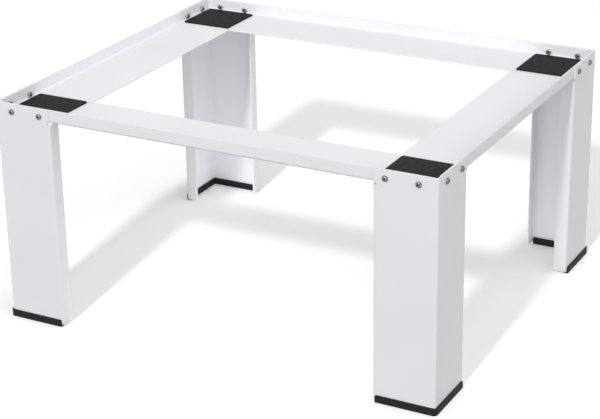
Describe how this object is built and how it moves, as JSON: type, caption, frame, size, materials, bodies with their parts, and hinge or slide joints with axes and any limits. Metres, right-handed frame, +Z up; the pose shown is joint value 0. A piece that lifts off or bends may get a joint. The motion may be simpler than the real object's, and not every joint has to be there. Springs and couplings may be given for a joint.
{
  "type": "washing machine stand",
  "caption": "Low rectangular stand of folded white sheet steel, with angle rails, rubber pads and rubber feet, that raises a washing machine off the floor.",
  "frame": {"origin": "on the floor, under the middle of the stand", "axes": "+X to the right seen from the front, +Y to the back, +Z up"},
  "size_m": [0.6362, 0.5462, 0.31],
  "materials": {
    "powder_coated_steel": "white satin powder coat with a very fine texture",
    "pad_rubber": "matt, finely grained",
    "foot_rubber": "matt moulded rubber",
    "bright_bolts": "bright plated",
    "bright_nuts": "bright plated"
  },
  "bodies": {
    "root": {"leg_front_left": "powder_coated_steel", "leg_front_right": "powder_coated_steel", "leg_back_left": "powder_coated_steel", "leg_back_right": "powder_coated_steel", "pad_front_left": "pad_rubber", "pad_front_right": "pad_rubber", "pad_back_left": "pad_rubber", "pad_back_right": "pad_rubber", "foot_front_left": "foot_rubber", "foot_front_right": "foot_rubber", "foot_back_left": "foot_rubber", "foot_back_right": "foot_rubber", "bolts_front_left": "bright_bolts", "bolts_front_right": "bright_bolts", "bolts_back_left": "bright_bolts", "bolts_back_right": "bright_bolts", "nuts_front_left": "bright_nuts", "nuts_front_right": "bright_nuts", "nuts_back_left": "bright_nuts", "nuts_back_right": "bright_nuts", "rail_front": "powder_coated_steel", "rail_back": "powder_coated_steel", "rail_left": "powder_coated_steel", "rail_right": "powder_coated_steel"}
  },
  "joints": []
}
